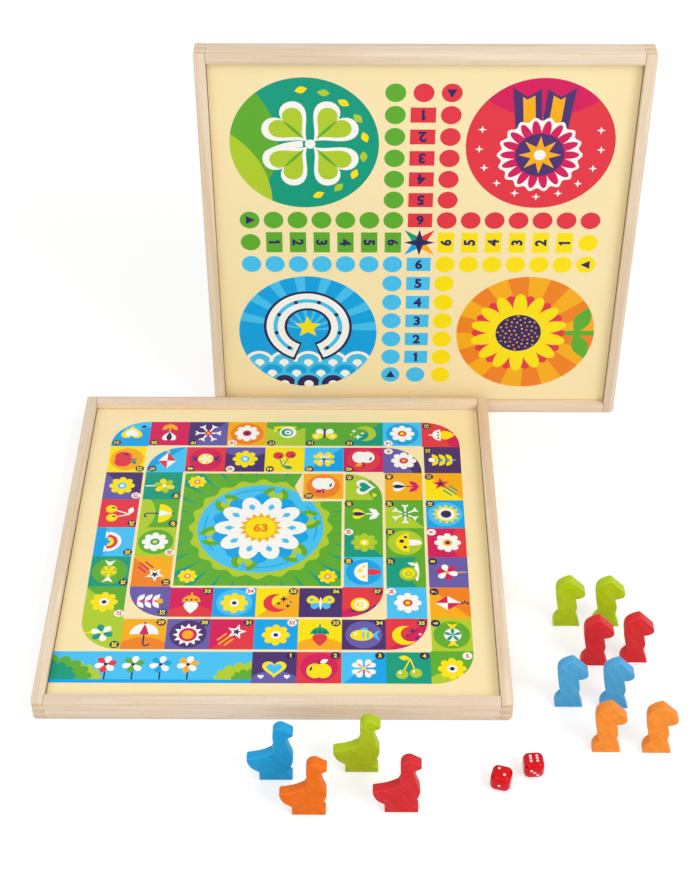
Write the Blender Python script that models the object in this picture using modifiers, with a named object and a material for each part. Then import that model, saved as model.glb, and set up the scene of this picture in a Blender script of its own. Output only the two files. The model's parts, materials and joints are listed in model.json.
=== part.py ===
"""Reversible goose and ludo boards in finger-jointed wooden frames, with pawns and dice.

Run with blender --background --python part.py, or from Blender's text editor.
Metres, +Z up. One board lies flat with its goose game up. The other stands on its
lower rail just behind it and shows its ludo game. The pawns and dice stand on the
same surface, z = 0. The set's footprint is centred on the origin.
"""

import math

import bmesh
import bpy
from mathutils import Matrix, Quaternion, Vector

# Frame of each board: four rails, finger jointed at the corners
BOARD_SIDE = 0.360
BOARD_THICK = 0.018
RAIL_WIDTH = 0.009
FINGER_COUNT = 5
LOWER_CORNER_ROUND = 0.004
UPPER_CORNER_ROUND = 0.0015
RIM_ROUND = 0.0008
CORNER_STEPS = 4
RIM_STEPS = 2

# Panel held in grooves of the two side rails, with a printed sheet on each face. The shown
# print lies below the rim, and a groove leaves a slit above it.
RECESS_DEPTH = 0.0075
PANEL_THICK = 0.003
PRINT_THICK = 0.0004
GLUE_FILM = 0.0001
GROOVE_DEPTH = 0.004
GROOVE_SLIT = 0.0012

# Clearance between pieces that meet, and spare stock that the frame's outline trims off
FIT_GAP = 0.0003
STOCK = 0.002

# Pawns, cut from plank: overall sizes of the two outlines
PAWN_THICK = 0.0078
PAWN_EDGE_ROUND = 0.0008
GOOSE_LENGTH = 0.0339
GOOSE_HEIGHT = 0.0568
HORSE_LENGTH = 0.0226
HORSE_HEIGHT = 0.0500
OUTLINE_STEPS = 3

# Dice with spherical dimples for pips
DIE_SIDE = 0.015
DIE_ROUND = 0.0044
DIE_ROUND_STEPS = 3
PIP_DIAMETER = 0.0022
PIP_DEPTH = 0.0005
PIP_PITCH = 0.0024
PIP_SEGMENTS = 10
PIP_RINGS = 8

# Places of the standing board, pawns and dice. Geese and dice are measured from the middle of
# the lying board's front edge: (to the right, in front of it). Horses stand in pairs: (right of
# the lying board's right edge, in front of its middle, gap to the second, its step back).
STANDING_BOARD_SHIFT = 0.115
GOOSE_PLACES = {
    "blue": (0.0048, 0.0524),
    "orange": (0.0293, 0.0833),
    "green": (0.0669, 0.0450),
    "red": (0.0952, 0.0808),
}
HORSE_PAIRS = {
    "green": (0.0489, 0.0795, 0.0085, -0.0003),
    "red": (0.0668, 0.1211, 0.0082, 0.0032),
    "blue": (0.0431, 0.1627, 0.0115, -0.0012),
    "orange": (0.0669, 0.2058, 0.0145, -0.0006),
}
DIE_PLACES = {
    "die_1": (0.1675, 0.0595),
    "die_2": (0.1915, 0.0475),
}
DIE_TURNS = {
    "die_1": math.radians(-16),
    "die_2": math.radians(4),
}

# Outlines drawn facing +X with the base's back corner at 0, on a grid of their own that is
# scaled to the sizes above. A corner point keeps straight edges, and a smooth one is part of
# a round stretch.
CORNER = "VECTOR"
SMOOTH = "AUTO"
GOOSE_OUTLINE = (
    (0.0, 0.0, CORNER),
    (24.2, 0.0, CORNER),
    (24.2, 4.2, CORNER),
    (20.6, 6.2, CORNER),
    (22.6, 11.0, SMOOTH),
    (25.0, 19.0, SMOOTH),
    (22.6, 27.4, SMOOTH),
    (19.8, 37.6, CORNER),
    (25.4, 40.6, CORNER),
    (25.4, 43.0, CORNER),
    (21.4, 45.3, SMOOTH),
    (16.4, 47.4, SMOOTH),
    (12.0, 45.0, SMOOTH),
    (10.7, 40.0, SMOOTH),
    (11.2, 30.0, SMOOTH),
    (9.4, 25.0, CORNER),
    (2.2, 21.4, SMOOTH),
    (-7.8, 19.2, CORNER),
    (-8.7, 18.4, CORNER),
    (-8.6, 16.6, CORNER),
    (-5.6, 11.0, SMOOTH),
    (0.0, 7.2, CORNER),
)
HORSE_OUTLINE = (
    (0.0, 0.0, CORNER),
    (21.2, 0.0, CORNER),
    (16.6, 15.2, CORNER),
    (17.6, 20.8, SMOOTH),
    (16.8, 26.8, SMOOTH),
    (15.6, 32.2, CORNER),
    (20.0, 33.4, SMOOTH),
    (22.4, 35.8, SMOOTH),
    (22.8, 38.7, SMOOTH),
    (21.9, 41.2, CORNER),
    (10.9, 53.4, CORNER),
    (7.4, 52.3, SMOOTH),
    (3.8, 50.0, SMOOTH),
    (0.8, 46.6, SMOOTH),
    (-0.2, 41.6, SMOOTH),
    (0.4, 33.0, SMOOTH),
    (2.1, 22.0, SMOOTH),
    (4.4, 13.8, CORNER),
    (1.2, 9.2, SMOOTH),
    (0.0, 5.0, SMOOTH),
)

# Pips in units of PIP_PITCH on a face's own two axes
PIPS = {
    1: ((0, 0),),
    2: ((-1, 1), (1, -1)),
    3: ((-1, 1), (0, 0), (1, -1)),
    4: ((-1, -1), (-1, 1), (1, -1), (1, 1)),
    5: ((-1, -1), (-1, 1), (1, -1), (1, 1), (0, 0)),
    6: ((-1, -1), (0, -1), (1, -1), (-1, 1), (0, 1), (1, 1)),
}
# Faces of a die that shows 2 on top and 1 in front, so that opposite faces add up to 7
DIE_FACES = {
    2: (0, 0, 1),
    5: (0, 0, -1),
    1: (0, -1, 0),
    6: (0, 1, 0),
    3: (-1, 0, 0),
    4: (1, 0, 0),
}
# The second die has rolled onto its 1, with 6 on top and 3 in front
DIE_ROLLS = {
    "die_1": Quaternion(),
    "die_2": Quaternion((1, 1, 1), math.radians(120)),
}

# Finishes: a colour and a roughness
BEECH = ((0.83, 0.64, 0.42), 0.45)
HARDBOARD = ((0.20, 0.11, 0.05), 0.7)
PRINTED_CREAM = ((0.96, 0.80, 0.45), 0.3)
DICE_RED = ((0.62, 0.01, 0.03), 0.15)
PAINTS = {
    "blue": ((0.05, 0.32, 0.70), 0.35),
    "orange": ((0.90, 0.22, 0.02), 0.35),
    "green": ((0.42, 0.58, 0.02), 0.35),
    "red": ((0.65, 0.03, 0.05), 0.35),
}

# Limits that tell a crease from a round stretch, and one point from two
CREASE_ANGLE = math.radians(35)
EASED_ANGLE = math.radians(50)
SAME_POINT = 1e-6

# Values that follow from the sizes above
HALF = BOARD_SIDE / 2
INNER = HALF - RAIL_WIDTH
WINDOW = INNER - FIT_GAP
FINGER = BOARD_THICK / FINGER_COUNT
PRINT_TOP = BOARD_THICK - RECESS_DEPTH
PRINT_FLOOR = PRINT_TOP - PRINT_THICK
PANEL_FLOOR = PRINT_FLOOR - GLUE_FILM - PANEL_THICK
REVERSE_FLOOR = PANEL_FLOOR - GLUE_FILM - PRINT_THICK
GROOVE_FLOOR = PANEL_FLOOR - FIT_GAP
GROOVE_CEILING = PRINT_TOP + GROOVE_SLIT


def clear_scene():
    for obj in list(bpy.data.objects):
        bpy.data.objects.remove(obj, do_unlink=True)


def new_collection(name):
    made = bpy.data.collections.new(name)
    bpy.context.scene.collection.children.link(made)
    return made


def finish(name, colour, roughness):
    """A material of one colour and roughness."""
    made = bpy.data.materials.new(name)
    made.use_nodes = True
    shader = made.node_tree.nodes["Principled BSDF"]
    shader.inputs["Base Color"].default_value = (*colour, 1.0)
    shader.inputs["Roughness"].default_value = roughness
    shader.inputs["Metallic"].default_value = 0.0
    return made


def place(name, mesh, collection, material, parent=None):
    """A named part with its own material, under its parent."""
    mesh.materials.clear()
    mesh.materials.append(material)
    obj = bpy.data.objects.new(name, mesh)
    collection.objects.link(obj)
    obj.parent = parent
    return obj


def box_mesh(name, boxes):
    """One mesh of separate boxes, each given by two opposite corners."""
    bm = bmesh.new()
    for first, second in boxes:
        low = Vector(map(min, first, second))
        high = Vector(map(max, first, second))
        size = Matrix.Diagonal((*(high - low), 1))
        move = Matrix.Translation((low + high) / 2)
        cube = bmesh.ops.create_cube(bm, size=1)
        bmesh.ops.transform(bm, matrix=move @ size, verts=cube["verts"])
    mesh = bpy.data.meshes.new(name)
    bm.to_mesh(mesh)
    bm.free()
    return mesh


def helper(name, mesh, cutters):
    """A cutter that shapes other pieces and isn't a piece itself."""
    obj = bpy.data.objects.new(name, mesh)
    cutters.objects.link(obj)
    obj.hide_render = True
    obj.display_type = "WIRE"
    return obj


def shaped(mesh, cuts):
    """The mesh after Booleans with the helpers in cuts, a list of (operation, helper)."""
    obj = bpy.data.objects.new(mesh.name, mesh)
    bpy.context.scene.collection.objects.link(obj)
    for operation, cutter in cuts:
        boolean = obj.modifiers.new(cutter.name, "BOOLEAN")
        boolean.operation = operation
        boolean.solver = "EXACT"
        boolean.object = cutter
    graph = bpy.context.evaluated_depsgraph_get()
    result = bpy.data.meshes.new_from_object(obj.evaluated_get(graph))
    bpy.data.objects.remove(obj, do_unlink=True)
    return result


def smooth_rounds(mesh):
    mesh.shade_smooth()
    mesh.set_sharp_from_angle(angle=CREASE_ANGLE)


def frame_block(cutters):
    """The frame's outer form, with round corners and eased rims, that trims every rail."""
    mesh = box_mesh("frame_block", [((-HALF, -HALF, 0), (HALF, HALF, BOARD_THICK))])
    bm = bmesh.new()
    bm.from_mesh(mesh)
    for end, radius in ((-1, LOWER_CORNER_ROUND), (1, UPPER_CORNER_ROUND)):
        corners = [
            edge
            for edge in bm.edges
            if all(vert.co.y * end > 0 for vert in edge.verts)
            and edge.verts[0].co.z != edge.verts[1].co.z
        ]
        bmesh.ops.bevel(
            bm, geom=corners, offset=radius, segments=CORNER_STEPS, profile=0.5, affect="EDGES"
        )
    rims = [edge for edge in bm.edges if edge.verts[0].co.z == edge.verts[1].co.z]
    bmesh.ops.bevel(
        bm, geom=rims, offset=RIM_ROUND, segments=RIM_STEPS, profile=0.5, affect="EDGES"
    )
    bm.to_mesh(mesh)
    bm.free()
    return helper("frame_block", mesh, cutters)


def finger_span(row, slack):
    """Lowest and highest level of one finger's place, open past the board's own faces."""
    low = row * FINGER - slack if row > 0 else -2 * STOCK
    high = (row + 1) * FINGER + slack if row < FINGER_COUNT - 1 else BOARD_THICK + 2 * STOCK
    return low, high


def side_rail(side, block, cutters):
    """A rail along Y, with slots for the end rails' fingers and a groove for the panel."""
    name = "right" if side > 0 else "left"
    bar = box_mesh(
        name + "_rail",
        [
            (
                (side * INNER, -HALF - STOCK, -STOCK),
                (side * (HALF + STOCK), HALF + STOCK, BOARD_THICK + STOCK),
            )
        ],
    )
    slots = []
    for end in (-1, 1):
        for row in range(1, FINGER_COUNT, 2):
            low, high = finger_span(row, 0)
            slots.append(
                (
                    (side * (INNER - STOCK), end * (INNER - FIT_GAP), low),
                    (side * (HALF + 2 * STOCK), end * (HALF + 2 * STOCK), high),
                )
            )
    groove = [
        (
            (side * (INNER - STOCK), -INNER, GROOVE_FLOOR),
            (side * (INNER + GROOVE_DEPTH), INNER, GROOVE_CEILING),
        )
    ]
    slot_cutter = helper(name + "_slots", box_mesh(name + "_slots", slots), cutters)
    groove_cutter = helper(name + "_groove", box_mesh(name + "_groove", groove), cutters)
    return shaped(
        bar,
        [("DIFFERENCE", slot_cutter), ("DIFFERENCE", groove_cutter), ("INTERSECT", block)],
    )


def end_rail(end, block, cutters):
    """A rail along X whose fingers fill the side rails' slots."""
    name = "upper" if end > 0 else "lower"
    bar = box_mesh(
        name + "_rail",
        [
            (
                (-HALF - STOCK, end * INNER, -STOCK),
                (HALF + STOCK, end * (HALF + STOCK), BOARD_THICK + STOCK),
            )
        ],
    )
    waste = []
    for side in (-1, 1):
        for row in range(0, FINGER_COUNT, 2):
            low, high = finger_span(row, FIT_GAP)
            waste.append(
                (
                    (side * (INNER - FIT_GAP), end * (INNER - STOCK), low),
                    (side * (HALF + 2 * STOCK), end * (HALF + 2 * STOCK), high),
                )
            )
    cutter = helper(name + "_waste", box_mesh(name + "_waste", waste), cutters)
    return shaped(bar, [("DIFFERENCE", cutter), ("INTERSECT", block)])


def sheet_mesh(name, reach, floor, thick):
    """A flat sheet that reaches so far to each side, and up to the end rails."""
    return box_mesh(name, [((-reach, -WINDOW, floor), (reach, WINDOW, floor + thick))])


def add_board(game, other, ends, rails, parts, origin):
    """One board under its own empty: four rails, the panel, the shown print and the reverse."""
    names = ("left", "right", *ends)
    for rail, mesh in zip(names, rails):
        node = f"{game}_board_{rail}_rail"
        obj = place(node, mesh.copy(), parts, finish(node, *BEECH), origin)
        smooth_rounds(obj.data)
    panel = f"{game}_board_panel"
    mesh = sheet_mesh(panel, WINDOW + GROOVE_DEPTH, PANEL_FLOOR, PANEL_THICK)
    place(panel, mesh, parts, finish(panel, *HARDBOARD), origin)
    prints = (
        (f"{game}_board_{game}_print", PRINT_FLOOR),
        (f"{game}_board_reverse_{other}_print", REVERSE_FLOOR),
    )
    for node, floor in prints:
        mesh = sheet_mesh(node, WINDOW, floor, PRINT_THICK)
        place(node, mesh, parts, finish(node, *PRINTED_CREAM), origin)


def board_empty(name, parts, parent, location, tilt=0.0):
    empty = bpy.data.objects.new(name, None)
    parts.objects.link(empty)
    empty.parent = parent
    empty.location = location
    empty.rotation_euler = (tilt, 0, 0)
    return empty


def outline_base(outline):
    """Length of the straight base that an outline stands on, before scaling."""
    return outline[1][0] - outline[0][0]


def outline_scales(outline, length, height):
    """Metres per drawn unit along and up, so that the outline gets its named sizes."""
    across = [x for x, _, _ in outline]
    up = [z for _, z, _ in outline]
    return length / (max(across) - min(across)), height / (max(up) - min(up))


def pawn_mesh(name, outline, length, height):
    """An outline cut from plank, standing on its base with the origin under its middle."""
    along, up = outline_scales(outline, length, height)
    middle = outline_base(outline) / 2
    curve = bpy.data.curves.new(name, "CURVE")
    curve.dimensions = "2D"
    curve.fill_mode = "BOTH"
    curve.extrude = PAWN_THICK / 2
    curve.resolution_u = OUTLINE_STEPS
    spline = curve.splines.new("BEZIER")
    spline.bezier_points.add(len(outline) - 1)
    spline.use_cyclic_u = True
    for point, (x, z, kind) in zip(spline.bezier_points, outline):
        point.co = ((x - middle) * along, z * up, 0)
        point.handle_left_type = kind
        point.handle_right_type = kind
    flat = bpy.data.objects.new(name, curve)
    bpy.context.scene.collection.objects.link(flat)
    graph = bpy.context.evaluated_depsgraph_get()
    mesh = bpy.data.meshes.new_from_object(flat.evaluated_get(graph))
    bpy.data.objects.remove(flat, do_unlink=True)
    bm = bmesh.new()
    bm.from_mesh(mesh)
    bmesh.ops.remove_doubles(bm, verts=bm.verts, dist=SAME_POINT)
    bmesh.ops.transform(bm, matrix=Matrix.Rotation(math.pi / 2, 4, "X"), verts=bm.verts)
    bmesh.ops.recalc_face_normals(bm, faces=bm.faces)
    bm.to_mesh(mesh)
    bm.free()
    return mesh


def add_pawn(node, drawn, paint, spot, parts, origin):
    """One painted pawn on its spot, with its edges eased."""
    pawn = place(node, drawn.copy(), parts, finish(node, *paint), origin)
    pawn.location = (*spot, 0)
    eased = pawn.modifiers.new("eased_edges", "BEVEL")
    eased.width = PAWN_EDGE_ROUND
    eased.segments = 1
    eased.limit_method = "ANGLE"
    eased.angle_limit = EASED_ANGLE
    smooth_rounds(pawn.data)


def goose_spots():
    """Where each goose stands, from the lying board's centre."""
    return {colour: (x, -HALF - front) for colour, (x, front) in GOOSE_PLACES.items()}


def horse_spots():
    """Where each horse stands, from the lying board's centre: two of each colour."""
    spots = {}
    for colour, (right, front, gap, back) in HORSE_PAIRS.items():
        first = HALF + right
        spots[f"{colour}_1"] = (first, -front)
        spots[f"{colour}_2"] = (first + HORSE_LENGTH + gap, back - front)
    return spots


def add_geese(parts, origin):
    drawn = pawn_mesh("goose_pawn", GOOSE_OUTLINE, GOOSE_LENGTH, GOOSE_HEIGHT)
    for colour, spot in goose_spots().items():
        add_pawn(f"goose_pawn_{colour}", drawn, PAINTS[colour], spot, parts, origin)


def add_horses(parts, origin):
    drawn = pawn_mesh("horse_pawn", HORSE_OUTLINE, HORSE_LENGTH, HORSE_HEIGHT)
    for label, spot in horse_spots().items():
        paint = PAINTS[label.split("_")[0]]
        add_pawn(f"horse_pawn_{label}", drawn, paint, spot, parts, origin)


def pip_cutter(cutters):
    """Balls that dip PIP_DEPTH into each face of a die and leave dimples of PIP_DIAMETER."""
    radius = (PIP_DIAMETER**2 / 4 + PIP_DEPTH**2) / (2 * PIP_DEPTH)
    height = DIE_SIDE / 2 + radius - PIP_DEPTH
    bm = bmesh.new()
    for count, normal in DIE_FACES.items():
        turn = Vector((0, 0, 1)).rotation_difference(Vector(normal)).to_matrix().to_4x4()
        for across, up in PIPS[count]:
            ball = bmesh.ops.create_uvsphere(
                bm, u_segments=PIP_SEGMENTS, v_segments=PIP_RINGS, radius=radius
            )
            seat = Matrix.Translation((across * PIP_PITCH, up * PIP_PITCH, height))
            bmesh.ops.transform(bm, matrix=turn @ seat, verts=ball["verts"])
    mesh = bpy.data.meshes.new("pip_balls")
    bm.to_mesh(mesh)
    bm.free()
    return helper("pip_balls", mesh, cutters)


def die_mesh(cutters):
    """A cube with eased edges and a dimple for each pip, centred on its origin."""
    corner = DIE_SIDE / 2
    mesh = box_mesh("die", [((-corner, -corner, -corner), (corner, corner, corner))])
    bm = bmesh.new()
    bm.from_mesh(mesh)
    bmesh.ops.bevel(
        bm,
        geom=list(bm.edges),
        offset=DIE_ROUND,
        segments=DIE_ROUND_STEPS,
        profile=0.5,
        affect="EDGES",
    )
    bm.to_mesh(mesh)
    bm.free()
    return shaped(mesh, [("DIFFERENCE", pip_cutter(cutters))])


def add_dice(parts, cutters, origin):
    drawn = die_mesh(cutters)
    for node, (x, front) in DIE_PLACES.items():
        die = place(node, drawn.copy(), parts, finish(node, *DICE_RED), origin)
        die.location = (x, -HALF - front, DIE_SIDE / 2)
        turn = Quaternion((0, 0, 1), DIE_TURNS[node])
        die.rotation_euler = (turn @ DIE_ROLLS[node]).to_euler()
        smooth_rounds(die.data)


def set_centre():
    """Middle of the set's footprint, measured from the lying board's centre."""
    along, _ = outline_scales(HORSE_OUTLINE, HORSE_LENGTH, HORSE_HEIGHT)
    muzzle = (max(x for x, _, _ in HORSE_OUTLINE) - outline_base(HORSE_OUTLINE) / 2) * along
    right = max(STANDING_BOARD_SHIFT + HALF, max(x for x, _ in horse_spots().values()) + muzzle)
    front = min(y for _, y in goose_spots().values()) - PAWN_THICK / 2
    back = HALF + FIT_GAP + BOARD_THICK
    return Vector(((right - HALF) / 2, (front + back) / 2, 0))


def main():
    clear_scene()
    parts = new_collection("goose_and_ludo_set")
    cutters = new_collection("cutters")
    block = frame_block(cutters)
    rails = (
        side_rail(-1, block, cutters),
        side_rail(1, block, cutters),
        end_rail(-1, block, cutters),
        end_rail(1, block, cutters),
    )
    origin = board_empty("set_origin", parts, None, -set_centre())
    lying = board_empty("goose_board", parts, origin, (0, 0, 0))
    standing = board_empty(
        "ludo_board",
        parts,
        origin,
        (STANDING_BOARD_SHIFT, HALF + FIT_GAP + BOARD_THICK, HALF),
        math.pi / 2,
    )
    add_board("goose", "ludo", ("front", "back"), rails, parts, lying)
    add_board("ludo", "goose", ("bottom", "top"), rails, parts, standing)
    add_geese(parts, origin)
    add_horses(parts, origin)
    add_dice(parts, cutters, origin)


main()
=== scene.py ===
"""Looks of the goose and ludo set, laid out as an add-on and run as a script.

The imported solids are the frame. The panels keep their solids, and the rails are refined copies
of theirs. The prints are flat sheets whose shapes of ink are drawn here. The pawns and dice are
modelled again with fine edges.
"""

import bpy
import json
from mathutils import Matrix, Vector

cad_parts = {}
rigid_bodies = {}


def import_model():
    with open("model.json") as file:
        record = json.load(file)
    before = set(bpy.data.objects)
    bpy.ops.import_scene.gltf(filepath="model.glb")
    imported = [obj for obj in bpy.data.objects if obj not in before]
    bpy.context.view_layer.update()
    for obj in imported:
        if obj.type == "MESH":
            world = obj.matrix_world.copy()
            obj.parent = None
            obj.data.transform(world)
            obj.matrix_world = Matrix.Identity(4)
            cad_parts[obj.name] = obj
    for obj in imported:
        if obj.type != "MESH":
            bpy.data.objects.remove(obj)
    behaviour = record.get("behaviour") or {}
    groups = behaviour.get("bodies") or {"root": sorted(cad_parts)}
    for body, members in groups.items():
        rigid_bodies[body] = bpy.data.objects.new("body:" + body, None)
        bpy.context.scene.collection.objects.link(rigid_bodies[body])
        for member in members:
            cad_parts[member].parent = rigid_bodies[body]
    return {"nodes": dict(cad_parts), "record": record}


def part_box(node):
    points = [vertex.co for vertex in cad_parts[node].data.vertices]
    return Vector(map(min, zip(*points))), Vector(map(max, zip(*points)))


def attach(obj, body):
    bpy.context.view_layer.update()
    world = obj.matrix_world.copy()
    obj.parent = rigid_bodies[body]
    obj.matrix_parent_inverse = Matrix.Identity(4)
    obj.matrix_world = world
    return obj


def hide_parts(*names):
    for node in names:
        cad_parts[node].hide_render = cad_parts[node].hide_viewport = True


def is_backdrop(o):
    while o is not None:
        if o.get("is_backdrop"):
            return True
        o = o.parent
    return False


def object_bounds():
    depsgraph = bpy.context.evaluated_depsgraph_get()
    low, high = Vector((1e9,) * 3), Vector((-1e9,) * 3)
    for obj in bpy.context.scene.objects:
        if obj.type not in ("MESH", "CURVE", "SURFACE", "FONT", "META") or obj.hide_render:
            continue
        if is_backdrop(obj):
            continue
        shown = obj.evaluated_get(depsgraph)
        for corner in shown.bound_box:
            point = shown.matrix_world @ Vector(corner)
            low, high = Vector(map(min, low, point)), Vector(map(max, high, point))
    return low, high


bl_info = {
    "name": "Goose and ludo set",
    "version": (1, 0, 0),
    "blender": (4, 5, 0),
    "location": "View3D > Sidebar > Game set",
    "description": "Dresses the goose and ludo boards, their pawns and dice, and sets their stage",
    "category": "Object",
}

import cmath
import functools
import json
import math

import bmesh
import bpy
from bpy.props import FloatProperty, FloatVectorProperty, IntProperty, PointerProperty
from mathutils import Matrix, Quaternion, Vector
from mathutils.geometry import delaunay_2d_cdt

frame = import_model()
CAD_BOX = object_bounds()
IMAGE_LONG_SIDE = 869
SENSOR_WIDE = 36.0


def linear(red, green, blue):
    """A colour given as eight-bit screen values, in the linear values that shaders use."""
    shares = (value / 255 for value in (red, green, blue))
    return tuple(s / 12.92 if s <= 0.04045 else ((s + 0.055) / 1.055) ** 2.4 for s in shares)


def value_maker(make, **rules):
    """A short way to write properties of one kind, by name, description and default."""

    def value(name, description, default):
        return make(name=name, description=description, default=default, **rules)

    return value


shade_value = value_maker(FloatVectorProperty, subtype="COLOR", size=3, min=0.0, max=1.0)
place_value = value_maker(FloatVectorProperty, subtype="TRANSLATION", unit="LENGTH")
length_value = value_maker(FloatProperty, subtype="DISTANCE", unit="LENGTH", min=0.0, precision=5)
angle_value = value_maker(FloatProperty, subtype="ANGLE", unit="ROTATION")
share_value = value_maker(FloatProperty, subtype="FACTOR", min=0.0, max=1.0)
pixel_value = value_maker(FloatProperty, subtype="PIXEL", min=1.0)
power_value = value_maker(FloatProperty, subtype="POWER", min=0.0)
strength_value = value_maker(FloatProperty, min=0.0)
count_value = value_maker(IntProperty, min=1, max=8)


def colour_value(name, description, *screen):
    return shade_value(name, description, linear(*screen))


class PrintInks(bpy.types.PropertyGroup):
    """Colours that both games are printed in."""

    cream: colour_value("Cream", "Ground of both games", 252, 233, 182)
    white: colour_value("White", "Blossoms, badges and highlights", 252, 251, 247)
    navy: colour_value("Navy", "Numerals and dark shapes", 42, 34, 92)
    violet: colour_value("Violet", "Dark tiles", 74, 46, 112)
    purple: colour_value("Purple", "Middle tone of the dark tiles", 104, 92, 172)
    azure: colour_value("Azure", "Blue disc and the deeper blue tiles", 0, 166, 236)
    sky: colour_value("Sky", "Light blue spots and tiles", 70, 196, 248)
    teal: colour_value("Teal", "Green disc and the deep green tiles", 0, 156, 127)
    leaf: colour_value("Leaf green", "Green spots and tiles", 94, 174, 46)
    lime: colour_value("Lime", "Light green tiles", 178, 207, 44)
    yellow: colour_value("Yellow", "Yellow spots and tiles", 254, 229, 4)
    amber: colour_value("Amber", "Orange disc", 250, 176, 16)
    orange: colour_value("Orange", "Warm tiles and petals", 242, 132, 30)
    red: colour_value("Red", "Red spots, disc and tiles", 229, 54, 70)
    rose: colour_value("Rose", "Deep pink tiles", 214, 20, 92)


class GooseTrack(bpy.types.PropertyGroup):
    """Sizes of the spiral of numbered tiles."""

    pitch: length_value("Tile pitch", "From one tile to the next", 0.0343)
    gap: length_value("Ring gap", "Cream line between the rings", 0.0024)
    round: length_value("Corner radius", "Round outer corner where the track turns", 0.0310)
    badge: length_value("Badge radius", "Round badge behind each number", 0.0038)
    number: length_value("Number height", "Height of the tile numbers", 0.0040)


class LudoCross(bpy.types.PropertyGroup):
    """Sizes of the cross of spots."""

    step: length_value("Step", "From one spot to the next along an arm", 0.0200)
    lane: length_value("Lane offset", "From an arm's middle lane to its side lanes", 0.0223)
    spot: length_value("Spot radius", "Radius of the round spots", 0.0083)
    home_wide: length_value("Home width", "Numbered box, across the arm", 0.0204)
    home_deep: length_value("Home depth", "Numbered box, along the arm", 0.0138)
    number: length_value("Number height", "Height of the numbers", 0.0098)
    star: length_value("Star radius", "Dark rays of the star in the middle", 0.0131)
    disc: length_value("Disc radius", "Large round picture in each corner", 0.0604)
    disc_offset: length_value("Disc offset", "From the middle to a disc's centre, each way", 0.0954)


class BeechFinish(bpy.types.PropertyGroup):
    """Sanded beech of the rails."""

    pale: colour_value("Pale wood", "Light growth of the wood", 240, 224, 203)
    warm: colour_value("Warm wood", "Darker streaks", 229, 207, 179)
    fleck: colour_value("Flecks", "Short dark flecks along the grain", 196, 152, 108)
    end: colour_value("End grain", "Where the grain is cut across", 230, 202, 166)
    ease: length_value("Edge easing", "Radius on the rails' sharp edges", 0.00022)
    roughness: share_value("Roughness", "How dull the varnish is", 0.46)


class PanelFinish(bpy.types.PropertyGroup):
    """Hardboard between the two prints of a board."""

    brown: colour_value("Brown", "Pressed fibres", 112, 80, 52)
    dark: colour_value("Dark fibre", "Darker fibres", 70, 47, 30)


class PawnFinish(bpy.types.PropertyGroup):
    """Painted plank pawns."""

    goose_blue: colour_value("Goose blue", "Blue paint of a goose", 20, 161, 221)
    goose_orange: colour_value("Goose orange", "Orange paint of a goose", 238, 112, 0)
    goose_green: colour_value("Goose green", "Lime green paint of a goose", 177, 202, 8)
    goose_red: colour_value("Goose red", "Red paint of a goose", 214, 36, 44)
    horse_blue: colour_value("Horse blue", "Paler blue paint of a horse", 78, 170, 223)
    horse_orange: colour_value("Horse orange", "Paler orange paint of a horse", 247, 143, 44)
    horse_green: colour_value("Horse green", "Lime green paint of a horse", 181, 210, 14)
    horse_red: colour_value("Horse red", "Red paint of a horse", 222, 40, 45)
    grain_turn: angle_value(
        "Grain slant", "Lean of the plank's grain from upright", math.radians(38)
    )
    ease: length_value("Edge easing", "Radius on the sawn edges", 0.0008)
    ease_steps: count_value("Easing steps", "Facets across an eased edge", 4)
    roughness: share_value("Roughness", "How dull the paint is", 0.42)


class DiceFinish(bpy.types.PropertyGroup):
    """Glossy dice with painted dimples."""

    body: colour_value("Body", "Colour of the dice", 219, 0, 20)
    pip: colour_value("Pips", "Paint in the dimples", 240, 224, 220)
    round: length_value("Edge radius", "Round on the edges and corners", 0.0044)
    pip_wide: length_value("Pip diameter", "Across a dimple at the face", 0.0022)
    pip_deep: length_value("Pip depth", "Depth of a dimple", 0.0005)
    pip_pitch: length_value("Pip pitch", "From a face's middle to a pip, each way", 0.0024)


class StageLook(bpy.types.PropertyGroup):
    """Camera, floor and light."""

    eye: place_value(
        "Camera place", "From the lying board's centre on the floor", (0.0619, -1.0250, 1.0072)
    )
    pitch: angle_value("Camera pitch", "How far the camera looks down", math.radians(40.63))
    yaw: angle_value("Camera yaw", "Turn to the left", math.radians(0.253))
    focal_pixels: pixel_value("Focal length", "In pixels of the image", 1730.0)
    floor: colour_value("Floor", "Pale floor, as it lights the pieces", 215, 215, 214)
    floor_white: share_value("Floor white", "Light that the floor adds where it is seen", 0.45)
    sky_strength: strength_value("Surround", "Even light from all round", 0.72)
    key_power: power_value("Key light", "Soft lamp at the front right", 24.0)
    fill_power: power_value("Fill light", "Large soft lamp at the left", 13.0)


class GooseLudoSettings(bpy.types.PropertyGroup):
    """Everything that a user may change."""

    inks: PointerProperty(type=PrintInks)
    goose: PointerProperty(type=GooseTrack)
    ludo: PointerProperty(type=LudoCross)
    beech: PointerProperty(type=BeechFinish)
    panel: PointerProperty(type=PanelFinish)
    pawns: PointerProperty(type=PawnFinish)
    dice: PointerProperty(type=DiceFinish)
    stage: PointerProperty(type=StageLook)


def settings():
    return bpy.context.scene.goose_ludo


# Outlines of ink, as points of the complex plane; angles are in turns

# Brings the widest place of a petal's curve up to 1
PETAL_PEAK = 2.598


def spoke(turns):
    return cmath.exp(2j * math.pi * turns)


def arc(radius, start, end, steps):
    return [radius * spoke(start + (end - start) * k / steps) for k in range(steps + 1)]


def disc(radius, steps=28):
    return [radius * spoke(k / steps) for k in range(steps)]


def oval(half_wide, half_high, steps=24):
    around = disc(1, steps)
    return [complex(half_wide * z.real, half_high * z.imag) for z in around]


def bar(wide, high):
    x, y = wide / 2, high / 2
    return [complex(-x, -y), complex(x, -y), complex(x, y), complex(-x, y)]


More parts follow.
